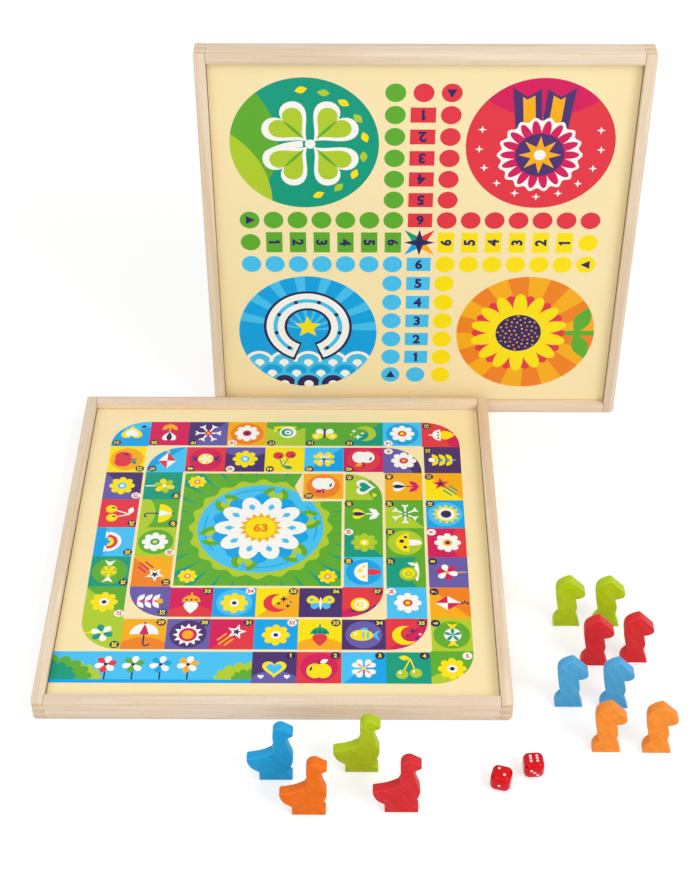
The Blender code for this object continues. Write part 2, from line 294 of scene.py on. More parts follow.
def star(tips, outer, inner):
    """Tips at the outer radius, the first one up."""
    radii = (outer, inner)
    return [radii[k % 2] * spoke(0.25 + k / (2 * tips)) for k in range(2 * tips)]


def lobed(lobes, radius, depth, steps=8):
    """A round with wavy lobes, such as a blossom."""
    waves = [radius * (1 + depth * math.cos(2 * math.pi * k / steps)) for k in range(steps)]
    return [waves[k % steps] * spoke(k / (lobes * steps)) for k in range(lobes * steps)]


def leaf(length, width, steps=8):
    """Pointed at both ends, from 0 along the real axis."""
    shares = [k / steps for k in range(steps + 1)]
    upper = [complex(length * t, width * math.sin(math.pi * t)) for t in shares]
    return upper + [z.conjugate() for z in upper[-2:0:-1]]


def petal(length, width, steps=12):
    """Pointed at 0 and round at its far end, on the real axis."""
    shares = [math.sin(math.pi / 2 * k / steps) for k in range(steps + 1)]
    wide = PETAL_PEAK * width
    upper = [complex(length * t, wide * t * math.sqrt(max(0, 1 - t))) for t in shares]
    return upper + [z.conjugate() for z in upper[-2:0:-1]]


def heart(size, steps=28):
    """The usual curve of a heart, 17 units high from its middle down to its tip."""
    points = []
    for k in range(steps):
        t = 2 * math.pi * k / steps
        x = 16 * math.sin(t) ** 3
        y = 13 * math.cos(t) - 5 * math.cos(2 * t) - 2 * math.cos(3 * t) - math.cos(4 * t)
        points.append(size / 17 * complex(x, y + 2))
    return points


def band(inner, outer, start, end, steps=18):
    """A stretch of a ring."""
    return arc(outer, start, end, steps) + arc(inner, end, start, steps)


def dome(radius, steps=18):
    return arc(radius, 0, 0.5, steps)


def crescent(radius, steps=16):
    """A moon that is open to the right: a round with a smaller round bitten out."""
    bite, shift = 0.8, 0.5
    crossing = (1 - bite**2 + shift**2) / (2 * shift)
    height = math.sqrt(1 - crossing**2)
    outer = math.atan2(height, crossing) / (2 * math.pi)
    inner = math.atan2(height, crossing - shift) / (2 * math.pi)
    hollow = [radius * shift + z for z in arc(bite * radius, 1 - inner, inner, steps)]
    return arc(radius, outer, 1 - outer, steps) + hollow[1:-1]


def bush(wide, high, bumps):
    """A dome with a scalloped rim, on the real axis from 0 to the right."""
    rim = [complex(wide / 2 * (1 + z.real), high * z.imag) for z in arc(1, 0, 0.5, bumps)]
    outline = []
    for right, left in zip(rim, rim[1:]):
        outline += [(right + left) / 2 + (right - left) * z for z in arc(0.5, 0, 0.5, 8)[:-1]]
    return outline + rim[-1:]


def tile_outline(left, right, low, high, radius=0.0):
    """A tile, with its lower right corner round if it has a radius."""
    corner = [complex(right, low)]
    if radius:
        corner = [complex(right - radius, low + radius) + z for z in arc(radius, -0.25, 0, 10)]
    return [complex(left, low), *corner, complex(right, high), complex(left, high)]


def new_object(name, data):
    made = bpy.data.objects.new(name, data)
    bpy.context.scene.collection.objects.link(made)
    return made


def final_mesh(maker):
    """What an object makes, with its modifiers; the object is only there for that and goes."""
    graph = bpy.context.evaluated_depsgraph_get()
    mesh = bpy.data.meshes.new_from_object(maker.evaluated_get(graph))
    bpy.data.batch_remove((maker, maker.data))
    return mesh


def mesh_of(bm, name):
    mesh = bpy.data.meshes.new(name)
    bm.to_mesh(mesh)
    bm.free()
    return mesh


DIGIT_STEPS = 3
DIGIT_BOLDNESS = 0.042
# The slanting stroke that a lone 1 gets, so that it isn't a plain bar
ONE_FLAG = (0.05 + 0.5j, -0.24 + 0.34j, -0.24 + 0.16j, 0.05 + 0.3j)


@functools.cache
def digit_shapes(text):
    """Flat triangles of a number, one unit high and centred on 0."""
    curve = bpy.data.curves.new("number", "FONT")
    curve.body = text
    curve.resolution_u = DIGIT_STEPS
    curve.offset = DIGIT_BOLDNESS
    mesh = final_mesh(new_object("number", curve))
    points = [complex(v.co.x, v.co.y) for v in mesh.vertices]
    low = complex(min(p.real for p in points), min(p.imag for p in points))
    high = complex(max(p.real for p in points), max(p.imag for p in points))
    points = [(p - (low + high) / 2) / (high - low).imag for p in points]
    shapes = [[points[i] for i in face.vertices] for face in mesh.polygons]
    bpy.data.meshes.remove(mesh)
    return [ONE_FLAG, *shapes] if text == "1" else shapes


class Sheet:
    """A printed sheet: shapes of ink, each printed over those before it."""

    WELD = 1e-7
    GROUND = 0
    INSIDE_ONLY = 1

    def __init__(self):
        self.points = []
        self.shapes = []
        self.boxes = []
        self.inks = []
        self.windows = []

    def lay(self, ink, outline, window):
        """Adds a shape, its outline taken counter-clockwise, and gives its number."""
        first = len(self.points)
        points = [Vector((z.real, z.imag)) for z in outline]
        doubled_area = sum(a.cross(b) for a, b in zip(points, points[1:] + points[:1]))
        self.points += points if doubled_area > 0 else points[::-1]
        self.shapes.append(list(range(first, len(self.points))))
        across, up = zip(*points)
        self.boxes.append((min(across), max(across), min(up), max(up)))
        self.inks.append(ink)
        self.windows.append(window)
        return len(self.inks) - 1

    def reaches(self, shape, spot):
        left, right, low, high = self.boxes[shape]
        return left <= spot.x <= right and low <= spot.y <= high

    def in_window(self, shape, covering):
        window = self.windows[shape]
        while window is not None:
            if window not in covering:
                return False
            window = self.windows[window]
        return True

    def top_ink(self, covering, spot):
        """The ink that shows where these shapes lie on each other at a spot."""
        covering = {shape for shape in covering if self.reaches(shape, spot)}
        return self.inks[max(shape for shape in covering if self.in_window(shape, covering))]

    def mesh(self, name, thick):
        """One closed sheet, its face at level 0, divided along the edges of the ink."""
        points, _, faces, _, _, covers = delaunay_2d_cdt(
            self.points, [], self.shapes, self.INSIDE_ONLY, self.WELD, True
        )
        inks = settings().inks
        bm = bmesh.new()
        ink_layer = bm.loops.layers.float_color.new("ink")
        verts = [bm.verts.new((p.x, p.y, 0)) for p in points]
        for corners, covering in zip(faces, covers):
            if self.GROUND not in covering:
                continue
            face = bm.faces.new([verts[i] for i in corners])
            spot = sum((points[i] for i in corners), Vector((0, 0))) / len(corners)
            colour = (*getattr(inks, self.top_ink(covering, spot)), 1)
            for loop in face.loops:
                loop[ink_layer] = colour
        bmesh.ops.delete(bm, geom=[v for v in bm.verts if not v.link_faces], context="VERTS")
        printed = set(bm.faces)
        rim = [edge for edge in bm.edges if edge.is_boundary]
        extruded = bmesh.ops.extrude_edge_only(bm, edges=rim)["geom"]
        lower = [item for item in extruded if isinstance(item, bmesh.types.BMVert)]
        bmesh.ops.translate(bm, verts=lower, vec=(0, 0, -thick))
        edges = [edge for edge in bm.edges if edge.is_boundary]
        bmesh.ops.edgeloop_fill(bm, edges=edges)
        for face in bm.faces:
            if face not in printed:
                for loop in face.loops:
                    loop[ink_layer] = (*inks.cream, 1)
        bmesh.ops.recalc_face_normals(bm, faces=bm.faces)
        return mesh_of(bm, name)


class Pen:
    """Draws on a sheet in a frame of its own, which can be moved, sized and turned."""

    def __init__(self, sheet, centre=0j, stretch=1 + 0j, window=None):
        self.sheet = sheet
        self.centre = centre
        self.stretch = stretch
        self.window = window

    def at(self, centre, size=1.0, turn=0.0):
        place = self.centre + self.stretch * centre
        return Pen(self.sheet, place, self.stretch * size * spoke(turn), self.window)

    def fill(self, ink, outline, centre=0j, turn=0.0):
        way = spoke(turn)
        outline = [self.centre + self.stretch * (centre + way * z) for z in outline]
        return self.sheet.lay(ink, outline, self.window)

    def ring(self, ink, outline, count, centre=0j, shift=0.0):
        """One outline over and over, turned evenly all round."""
        for k in range(count):
            self.fill(ink, outline, centre, (k + shift) / count)

    def inside(self, ink, outline, centre=0j):
        """Fills an outline, and gives a pen whose shapes show only inside it."""
        window = self.fill(ink, outline, centre)
        return Pen(self.sheet, self.centre, self.stretch, window)

    def number(self, ink, value, height, centre=0j, turn=0.0):
        for triangle in digit_shapes(str(value)):
            self.fill(ink, [height * z for z in triangle], centre, turn)


# Small pictures for the tiles, drawn two units wide in three inks

def daisy(pen, main, second, accent):
    pen.ring(main, petal(0.68, 0.19), 8)
    pen.fill(second, disc(0.24))
    pen.fill(accent, disc(0.12, 16))


def shooting_star(pen, main, second, accent):
    for k, length in enumerate((0.62, 0.9, 0.62)):
        pen.fill(second, bar(length, 0.1), -0.3 - 0.3j + 0.17 * (k - 1) * (1 - 1j), 0.125)
    pen.fill(main, star(5, 0.5, 0.21), 0.22 + 0.2j, -0.04)
    pen.fill(accent, star(5, 0.24, 0.1), 0.22 + 0.2j, -0.04)


def hearts(pen, main, second, accent):
    pen.fill(main, heart(0.62), -0.08j)
    pen.fill(second, heart(0.4), -0.06j)
    for side in (-1, 1):
        pen.fill(accent, heart(0.16, 16), complex(0.62 * side, -0.55))


def sprig(pen, main, second, accent):
    pen.fill(second, bar(0.08, 1.3), -0.05j)
    for level in (-0.5, -0.12, 0.26):
        for way in (0.1, 0.4):
            pen.fill(main, leaf(0.58, 0.14), complex(0, level), way)
    pen.fill(accent, disc(0.17, 18), 0.62j)


def moon(pen, main, second, accent):
    pen.fill(main, crescent(0.62), -0.08, 0.05)
    for spot, size in ((0.3 + 0.28j, 0.24), (0.52 - 0.2j, 0.17), (0.06 - 0.02j, 0.14)):
        pen.fill(accent, star(4, size, size * 0.36), spot)
    pen.fill(second, disc(0.07, 12), 0.66 + 0.08j)


def umbrella(pen, main, second, accent):
    pen.fill(accent, bar(0.08, 0.9), -0.15j)
    pen.fill(accent, band(0.1, 0.18, 0.5, 1.0, 8), 0.14 - 0.58j)
    pen.fill(main, dome(0.7), 0.02j)
    pen.fill(second, [0.24 + 0.02j, 0.7j + 0.02j, -0.24 + 0.02j])
    pen.fill(accent, disc(0.06, 12), 0.76j)


def tulip(pen, main, second, accent):
    pen.fill(second, bar(0.09, 0.8), -0.4j)
    for way in (0.14, 0.36):
        pen.fill(second, leaf(0.66, 0.15), -0.75j, way)
    for way in (0.19, 0.31):
        pen.fill(main, petal(0.72, 0.2), -0.08j, way)
    pen.fill(accent, petal(0.66, 0.15), -0.08j, 0.25)


def clover(pen, main, second, accent):
    pen.fill(second, band(0.62, 0.7, 0.5, 0.62, 8), 0.64 - 0.02j)
    for k in range(4):
        way = k / 4 + 0.125
        pen.fill(main, heart(0.32, 20), 0.34 * spoke(way), way - 0.25)
        pen.fill(second, leaf(0.4, 0.035), 0.08 * spoke(way), way)
    pen.fill(accent, disc(0.09, 14))


def sun(pen, main, second, accent):
    pen.fill(main, star(12, 0.74, 0.5))
    pen.fill(second, disc(0.44))
    pen.fill(accent, disc(0.28))


def pinwheel(pen, main, second, accent):
    pen.fill(accent, bar(0.08, 0.95), -0.4j)
    for k in range(6):
        pen.fill((main, second)[k % 2], petal(0.56, 0.17), 0.12j, k / 6 + 0.04)
    pen.fill(accent, disc(0.1, 14), 0.12j)


def fish(pen, main, second, accent):
    pen.fill(second, [0.34 + 0j, 0.78 + 0.36j, 0.64 + 0j, 0.78 - 0.36j])
    pen.fill(second, leaf(0.46, 0.16), -0.2 + 0.26j, 0.06)
    pen.fill(main, oval(0.56, 0.36), -0.1)
    for x in (-0.02, 0.2):
        pen.fill(second, oval(0.05, 0.26, 16), x)
    pen.fill(accent, disc(0.09, 14), -0.4 + 0.08j)


def apple(pen, main, second, accent):
    pen.fill(second, leaf(0.44, 0.13), 0.04 + 0.34j, 0.08)
    pen.fill(accent, bar(0.07, 0.36), 0.4j, 0.02)
    for side in (-1, 1):
        pen.fill(main, oval(0.4, 0.46), complex(0.2 * side, -0.16))
    pen.fill(accent, leaf(0.34, 0.06), -0.44 - 0.2j, 0.2)


def mushroom(pen, main, second, accent):
    pen.fill(second, oval(0.22, 0.48), -0.34j)
    pen.fill(main, dome(0.68), -0.16j)
    for spot, size in ((0.1 + 0.22j, 0.13), (-0.34 + 0.05j, 0.1), (0.4 + 0.02j, 0.09)):
        pen.fill(accent, disc(size, 14), spot)


def kite(pen, main, second, accent):
    middle, tips = 0.16j, (0.78j, -0.48 + 0.16j, -0.5j, 0.48 + 0.16j)
    for k in range(4):
        pen.fill((main, second)[k % 2], [middle, tips[k], tips[(k + 1) % 4]])
    for k in range(3):
        pen.fill(accent, star(4, 0.12, 0.05), complex(0.1 * (k % 2) - 0.02, -0.56 - 0.13 * k))


def snowflake(pen, main, second, accent):
    for k in range(3):
        pen.fill(main, bar(1.36, 0.1), turn=k / 6)
    for k in range(6):
        for way in (k / 6 - 0.1, k / 6 + 0.1):
            pen.fill(main, bar(0.3, 0.08), 0.48 * spoke(k / 6) + 0.12 * spoke(way), way)
    pen.fill(second, star(6, 0.3, 0.16))
    pen.fill(accent, disc(0.09, 14))


def cherries(pen, main, second, accent):
    knot = 0.08 + 0.62j
    for spot in (-0.32 - 0.36j, 0.34 - 0.28j):
        stalk = knot - spot
        slant = cmath.phase(stalk) / (2 * math.pi)
        pen.fill(second, bar(abs(stalk), 0.07), spot + stalk / 2, slant)
        pen.fill(main, disc(0.29), spot)
        pen.fill(accent, oval(0.06, 0.1, 12), spot - 0.1 + 0.1j)
    pen.fill(second, leaf(0.56, 0.15), knot, 0.47)


def rainbow(pen, main, second, accent):
    for k, ink in enumerate((main, second, accent)):
        pen.fill(ink, band(0.52 - 0.19 * k, 0.71 - 0.19 * k, 0, 0.5), -0.3j)
    for side in (-1, 1):
        pen.fill(main, bush(0.46, 0.06, 3), complex(0.52 * side - 0.23, -0.44))


def butterfly(pen, main, second, accent):
    for upper, lower in ((0.08, -0.09), (0.42, 0.59)):
        pen.fill(main, petal(0.74, 0.28), turn=upper)
        pen.fill(second, petal(0.54, 0.2), turn=lower)
        pen.fill(second, disc(0.1, 14), 0.5 * spoke(upper))
    pen.fill(accent, oval(0.06, 0.42, 16), -0.02j)


def sweet(pen, main, second, accent):
    twist = (0.3 + 0j, 0.78 + 0.28j, 0.66 + 0j, 0.78 - 0.28j)
    for side in (-1, 1):
        pen.fill(accent, [side * z for z in twist])
    pen.fill(main, disc(0.42))
    pen.ring(second, petal(0.42, 0.09), 5)


def snail(pen, main, second, accent):
    pen.fill(accent, oval(0.66, 0.12), 0.04 - 0.5j)
    pen.fill(accent, leaf(0.5, 0.1), 0.5 - 0.52j, 0.2)
    coils = ((main, 0.46, 0), (second, 0.32, 0.05), (main, 0.19, 0.0), (second, 0.08, 0.02))
    for ink, size, shift in coils:
        pen.fill(ink, disc(size), -0.12 + shift - 0.08j)


def acorn(pen, main, second, accent):
    pen.fill(second, bar(0.1, 0.3), 0.56j)
    pen.fill(main, petal(0.84, 0.36), -0.72j, 0.25)
    pen.fill(second, dome(0.46), 0.06j)
    for k in range(3):
        pen.fill(accent, disc(0.06, 10), complex(0.24 * (k - 1), 0.2))


PICTURES = (
    tulip, kite, fish, hearts, pinwheel, moon, apple, umbrella, butterfly, clover, sun, snail,
    cherries, shooting_star, mushroom, rainbow, sprig, snowflake, sweet, acorn,
)
# Inks of a tile: its ground and second tone, then the picture's three
TILE_INKS = (
    ("yellow", "amber", "red", "teal", "navy"),
    ("sky", "azure", "white", "red", "yellow"),
    ("lime", "leaf", "white", "teal", "yellow"),
    ("rose", "red", "white", "amber", "navy"),
    ("violet", "purple", "yellow", "sky", "white"),
    ("teal", "leaf", "lime", "yellow", "white"),
    ("amber", "orange", "white", "rose", "navy"),
    ("azure", "sky", "yellow", "white", "navy"),
    ("red", "rose", "yellow", "white", "violet"),
    ("leaf", "lime", "yellow", "white", "navy"),
    ("purple", "violet", "white", "rose", "amber"),
)
# Numbers of tiles along each straight leg of the spiral, which turns left after each leg
SPIRAL_LEGS = (5, 8, 8, 7, 7, 6, 6, 5, 5, 4, 1)
GRID_MIDDLE = 4
START_COLUMN = 3
# Steps through the lists from one tile to the next, so that neighbours differ
INK_STEP = 4
PICTURE_STEP = 3
BACKDROP_COUNT = 4
# In half pitches
PICTURE_SIZE = 0.94
BADGE_PLACE = 0.72
# Cream rim of the last tile, with a point toward the large square
LAST_TILE_RIM = (-1.1 - 1.1j, 1 - 1.1j, 1.42 + 0j, 1 + 1.1j, -1.1 + 1.1j)


def hop_square(number):
    """The squares that let a player move on, every fourth and fifth in turn."""
    return number % 9 in (0, 5)


def backdrop(pen, kind, tone):
    """A second tone behind a tile's picture: none, a hill, a round or a slant."""
    if kind == 1:
        pen.fill(tone, disc(1.7, 40), -1.9j)
    elif kind == 2:
        pen.fill(tone, disc(0.84, 36))
    elif kind == 3:
        pen.fill(tone, [-1.2 - 1.2j, 1.2 - 1.2j, 1.2 + 1.2j])


def spiral_tiles():
    """Each tile's number, column, row, turn in quarters, and whether the track turns there."""
    column, row, number = START_COLUMN, 0, 0
    for leg, count in enumerate(SPIRAL_LEGS):
        step = round(spoke(leg / 4).real), round(spoke(leg / 4).imag)
        for k in range(count):
            column, row, number = column + step[0], row + step[1], number + 1
            last = k == count - 1 and leg < len(SPIRAL_LEGS) - 1
            yield number, column, row, leg % 4, last


def draw_tile(pen, number, corner, sizes):
    """One tile, in a frame where a half pitch is 1 and the track goes to the right."""
    half = sizes.pitch / 2
    inset = sizes.gap / sizes.pitch
    if corner:
        outline = tile_outline(-1, 1 - inset, inset - 1, 1, sizes.round / half)
    else:
        outline = tile_outline(-1, 1, inset - 1, 1 - inset)
    ground, tone, *inks = TILE_INKS[number * INK_STEP % len(TILE_INKS)]
    tile = pen.inside(ground, outline)
    backdrop(tile, number % BACKDROP_COUNT, tone)
    picture = PICTURES[number * PICTURE_STEP % len(PICTURES)]
    if hop_square(number):
        picture = daisy
    picture(tile.at(-0.06 - 0.04j if corner else -0.04j, PICTURE_SIZE), *inks)
    badge, ink = ("white", "red") if hop_square(number) else ("navy", "yellow")
    spot = complex(BADGE_PLACE - inset if corner else BADGE_PLACE, BADGE_PLACE)
    tile.fill(badge, disc(sizes.badge / half, 22), spot)
    tile.number(ink, number, sizes.number / half, spot)


def draw_start(pen, left, sizes):
    """The strip that leads from the sheet's left edge to the first tile: hedges and pinwheels."""
    half = (sizes.pitch - sizes.gap) / 2
    right = (START_COLUMN - GRID_MIDDLE + 0.5) * sizes.pitch
    strip = pen.inside("sky", tile_outline(left, right, -half, half))
    strip = strip.at(complex(left, -half), 2 * half)
    long = (right - left) / (2 * half)
    strip.fill("azure", bar(2 * long, 0.22))
    for ink, middle, wide, high, bumps in (
        ("lime", 0, 2.4, 0.52, 11),
        ("leaf", 0, 1.84, 0.62, 9),
        ("teal", 0, 1.1, 0.48, 7),
        ("lime", long, 1.7, 0.44, 9),
        ("leaf", long, 0.9, 0.26, 7),
    ):
        strip.fill(ink, bush(wide, high, bumps), complex(middle - wide / 2, 0.11))
    for k, ink in enumerate(("red", "leaf", "azure", "amber")):
        pinwheel(strip.at(complex(1.3 + 0.66 * k, 0.53), 0.48), ink, "white", "navy")


def draw_finish(pen, sizes):
    """The large last square: a water lily on a round pond among leaves."""
    half = 2 * sizes.pitch - sizes.gap / 2
    field = pen.inside("teal", bar(2 * half, 2 * half)).at(0, half)
    field.ring("leaf", petal(1.5, 0.09), 32)
    field.fill("lime", lobed(20, 0.86, 0.035))
    pond = field.inside("sky", disc(0.78, 64))
    for radius in (0.7, 0.58):
        for k in range(4):
            start = k / 4 + radius
            pond.fill("azure", band(radius - 0.018, radius, start, start + 0.15))
    for k in range(6):
        pad = 0.6 * spoke(k / 6 + 0.04)
        pond.fill("leaf", band(0.0, 0.17, k / 6 + 0.1, k / 6 + 0.98), pad)
        pond.fill("lime", band(0.0, 0.1, k / 6 + 0.1, k / 6 + 0.98), pad)
    for ink, length, wide, shift in (
        ("azure", 0.62, 0.13, 0.5),
        ("white", 0.57, 0.12, 0.0),
        ("sky", 0.44, 0.05, 0.0),
        ("white", 0.42, 0.1, 0.5),
    ):
        field.ring(ink, petal(length, wide), 10, shift=shift)
    field.fill("amber", star(16, 0.27, 0.2))
    field.fill("yellow", disc(0.19))
    field.number("orange", 63, 0.15)
    for k in range(4):
        corner = field.at(0.84 * math.sqrt(2) * spoke(k / 4 + 0.125), 0.17)
        daisy(corner, "yellow", "orange", "white")


def draw_goose_game(sheet, half):
    """A spiral of sixty-two tiles from the lower edge inward, and the last square inside it."""
    sizes = settings().goose
    pen = Pen(sheet)
    pen.fill("cream", bar(2 * half, 2 * half))
    pitch = sizes.pitch
    draw_finish(pen.at(complex(-0.5, 0.5) * pitch), sizes)
    draw_start(pen.at(complex(0, -GRID_MIDDLE * pitch)), -half, sizes)
    for number, column, row, quarter, corner in spiral_tiles():
        place = complex(column - GRID_MIDDLE, row - GRID_MIDDLE) * pitch
        tile_pen = pen.at(place, pitch / 2, quarter / 4)
        if number == sum(SPIRAL_LEGS):
            tile_pen.fill("cream", LAST_TILE_RIM)
        draw_tile(tile_pen, number, corner, sizes)


def clover_disc(pen):
    pen = pen.inside("teal", disc(1, 96))
    pen.fill("leaf", disc(1.2, 64), -1.55j)
    pen.fill("lime", disc(1.3, 64), 0.9 - 1.75j)
    pen.fill("white", band(0.78, 0.88, 0.5, 0.6), 0.83 - 0.02j)
    for k in range(4):
        way = k / 4 + 0.125
        pen.fill("white", heart(0.37, 40), 0.37 * spoke(way) + 0.08j, way - 0.25)
        pen.fill("lime", heart(0.28, 40), 0.37 * spoke(way) + 0.08j, way - 0.25)
        pen.fill("leaf", leaf(0.42, 0.022), 0.1 * spoke(way) + 0.08j, way)
    pen.fill("white", disc(0.07, 18), 0.08j)
    for k in range(9):
        way = 0.02 + k / 17
        pen.fill(("yellow", "lime")[k % 2], leaf(0.17, 0.05), 0.84 * spoke(way), way + 0.3)


def rosette_disc(pen):
    pen = pen.inside("red", disc(1, 96))
    pen.fill("rose", disc(1.2, 64), -1.62j)
    tail = "violet", (0j, 0.34 + 0j, 0.44 - 0.86j, 0.24 - 0.72j, 0.06 - 0.84j)
    stripe = "amber", (0.08 + 0j, 0.24 + 0j, 0.3 - 0.72j, 0.24 - 0.68j, 0.14 - 0.74j)
    for side in (-1, 1):
        for ink, ribbon in (tail, stripe):
            pen.fill(ink, [complex(side * (z.real - 0.02), z.imag) for z in ribbon])
    pen.fill("white", lobed(18, 0.55, 0.05), 0.16j)
    pen.ring("rose", petal(0.53, 0.06), 18, 0.16j)
    pen.fill("violet", disc(0.33, 48), 0.16j)
    pen.fill("amber", star(8, 0.29, 0.13), 0.16j)
    pen.fill("white", disc(0.08, 20), 0.16j)
    for k in range(11):
        pen.fill("white", star(4, 0.06, 0.02), 0.82 * spoke(k / 17 - 0.045))


def horseshoe_disc(pen):
    pen = pen.inside("azure", disc(1, 96))
    for k in range(8):
        pen.fill("sky", [0.05j, 1.3 * spoke(k / 16 + 0.005), 1.3 * spoke(k / 16 + 0.03)])
    for row, ink in enumerate(("sky", "azure", "navy")):
        for k in range(7):
            spot = complex(0.36 * (k - 3) + 0.18 * (row % 2), -0.56 - 0.2 * row)
            pen.fill("white" if row == 0 else "sky", disc(0.22, 28), spot)
            pen.fill(ink, disc(0.17, 28), spot)
            pen.fill("white", disc(0.07, 16), spot)
    middle = 0.1j
    pen.fill("navy", band(0.3, 0.64, -0.2, 0.7, 44), middle)
    pen.fill("white", band(0.34, 0.6, -0.19, 0.69, 44), middle)
    pen.fill("sky", band(0.44, 0.5, -0.17, 0.67, 44), middle)
    for k in range(8):
        pen.fill("navy", disc(0.032, 12), middle + 0.47 * spoke(-0.15 + 0.8 * k / 7))
    pen.fill("yellow", star(5, 0.2, 0.09), middle)


# Turn from one seed of a flower head to the next
GOLDEN_TURN = 0.381966


def sunflower_disc(pen):
    pen = pen.inside("amber", disc(1, 96))
    for k in range(10):
        pen.fill("orange", [0j, 1.3 * spoke(k / 10), 1.3 * spoke((k + 0.5) / 10)])
    pen.fill("leaf", bar(0.09, 1.0), -0.6j)
    for way in (-0.06, 0.56):
        pen.fill("leaf", leaf(0.5, 0.12), -0.72j, way)
    head = 0.1j
    pen.ring("red", petal(0.68, 0.1), 14, head, 0.5)
    pen.ring("yellow", petal(0.7, 0.1), 14, head)
    pen.fill("navy", disc(0.33, 48), head)
    for k in range(1, 56):
        seed = 0.041 * math.sqrt(k) * spoke(k * GOLDEN_TURN)
        pen.fill(("orange", "amber")[k % 2], disc(0.016, 8), head + seed)


# Each side of the cross: inks of its spots and its ray of the star, its disc, and the quarter
# turn that it is read from
LUDO_SIDES = (
    ("sky", "azure", horseshoe_disc, 0),
    ("yellow", "amber", sunflower_disc, 1),
    ("red", "red", rosette_disc, 2),
    ("leaf", "teal", clover_disc, 3),
)
HOME_COUNT = 6


def draw_ludo_side(pen, ink, sizes):
    """One arm, from the middle down: its numbered home lane and the lane to its left."""
    reach = [sizes.lane + sizes.step * k for k in range(HOME_COUNT + 1)]
    for k, far in enumerate(reach[:-1]):
        home = -1j * far
        pen.fill(ink, bar(sizes.home_wide, sizes.home_deep), home)
        pen.number("navy", HOME_COUNT - k, sizes.number, home)
    pen.fill(ink, disc(sizes.spot, 40), -1j * reach[-1])
    for far in reach:
        pen.fill(ink, disc(sizes.spot, 40), complex(-sizes.lane, -far))
        if far > sizes.lane:
            pen.fill(ink, disc(sizes.spot, 40), complex(-far, -sizes.lane))
    arrow = [0.55 * sizes.spot * z for z in (1j, -0.9 - 0.7j, 0.9 - 0.7j)]
    pen.fill("navy", arrow, complex(-sizes.lane, -reach[-1]))


def draw_ludo_star(pen):
    """An eight-pointed star: a long ray to each side's disc under four dark ones."""
    for _, ink, _, quarter in LUDO_SIDES:
        way = quarter / 4 - 0.375
        pen.fill(ink, [0j, 0.46 * spoke(way - 0.1), 1.38 * spoke(way), 0.46 * spoke(way + 0.1)])
    pen.fill("navy", star(4, 1, 0.31))


def draw_ludo_game(sheet, half):
    """A cross of spots with a large disc in each corner."""
    sizes = settings().ludo
    pen = Pen(sheet)
    pen.fill("cream", bar(2 * half, 2 * half))
    for ink, _, draw_disc, quarter in LUDO_SIDES:
        side = pen.at(0, 1, quarter / 4)
        draw_disc(side.at(sizes.disc_offset * (-1 - 1j), sizes.disc))
        draw_ludo_side(side, ink, sizes)
    draw_ludo_star(pen.at(0, sizes.star))


# Materials

# Sockets of the node that mixes two colours
MIX_SHARE, MIX_FIRST, MIX_SECOND, MIX_RESULT = 0, 6, 7, 2


def node(tree, kind, inputs=None, **values):
    """A shader node with its own values; an input is a value, or the socket that it is fed from."""
    made = tree.nodes.new("ShaderNode" + kind)
    for name, value in values.items():
        setattr(made, name, value)
    for name, value in (inputs or {}).items():
        if isinstance(value, bpy.types.NodeSocket):
            tree.links.new(value, made.inputs[name])
        else:
            made.inputs[name].default_value = value
    return made


def new_material(name, **values):
    """A material whose even values are set on its shader's own sockets."""
    material = bpy.data.materials.new(name)
    material.use_nodes = True
    shader = material.node_tree.nodes["Principled BSDF"]
    for socket, value in values.items():
        shader.inputs[socket.replace("_", " ")].default_value = value
    return material, material.node_tree, shader


def surface(tree, shader, colour, grain, rough, bump):
    """Feeds a shader its colour, and from one grain its roughness and its bump.

    The roughness goes from a low to a high value, and the bump is a strength and a depth.
    """
    low, high = rough
    strength, depth = bump
    gloss = node(tree, "MapRange", {"Value": grain, "To Min": low, "To Max": high})
    relief = node(tree, "Bump", {"Height": grain, "Strength": strength, "Distance": depth})
    tree.links.new(colour, shader.inputs["Base Color"])
    tree.links.new(gloss.outputs["Result"], shader.inputs["Roughness"])
    tree.links.new(relief.outputs["Normal"], shader.inputs["Normal"])


def ramp(tree, source, *stops):
    """A ramp of greys fed from a value; each stop is a place and a grey."""
    made = node(tree, "ValToRGB", {"Fac": source})
    elements = made.color_ramp.elements
    while len(elements) < len(stops):
        elements.new(0.5)
    for element, (place, grey) in zip(elements, stops):
        element.position = place
        element.color = (grey, grey, grey, 1)
    return made.outputs["Color"]


def mixed(tree, share, first, second, blend="MIX"):
    """Two colours mixed by a share; each may be a socket or a colour."""
    inputs = {MIX_SHARE: share}
    for socket, colour in ((MIX_FIRST, first), (MIX_SECOND, second)):
        is_fed = isinstance(colour, bpy.types.NodeSocket)
        inputs[socket] = colour if is_fed else (*colour, 1)
    made = node(tree, "Mix", inputs, data_type="RGBA", blend_type=blend)
    return made.outputs[MIX_RESULT]


def patched(tree, noise, reach, base, patch, share=1.0, blend="MIX"):
    """A base colour with patches that come up as the noise goes through a reach of values."""
    low, high = reach
    return mixed(tree, ramp(tree, noise, (low, 0.0), (high, share)), base, patch, blend)


def toned(colour, factor, lift=0.0):
    """A colour made deeper or paler."""
    return [min(1, channel * factor + lift) for channel in colour]


def speckle(tree, scale=1.0, detail=3, stretch=(1, 1, 1), rough=0.55, distortion=0.0, slant=0.0):
    """Noise in the object's own coordinates, leant about Y and stretched along each axis."""
    place = node(tree, "TexCoord").outputs["Object"]
    if slant:
        lean = node(tree, "VectorRotate", {"Vector": place, "Angle": slant}, rotation_type="Y_AXIS")
        place = lean.outputs["Vector"]
    squeezed = node(tree, "Mapping", {"Vector": place, "Scale": stretch}).outputs["Vector"]
    inputs = {"Vector": squeezed, "Scale": scale, "Detail": detail, "Roughness": rough}
    inputs["Distortion"] = distortion
    return node(tree, "TexNoise", inputs).outputs["Fac"]


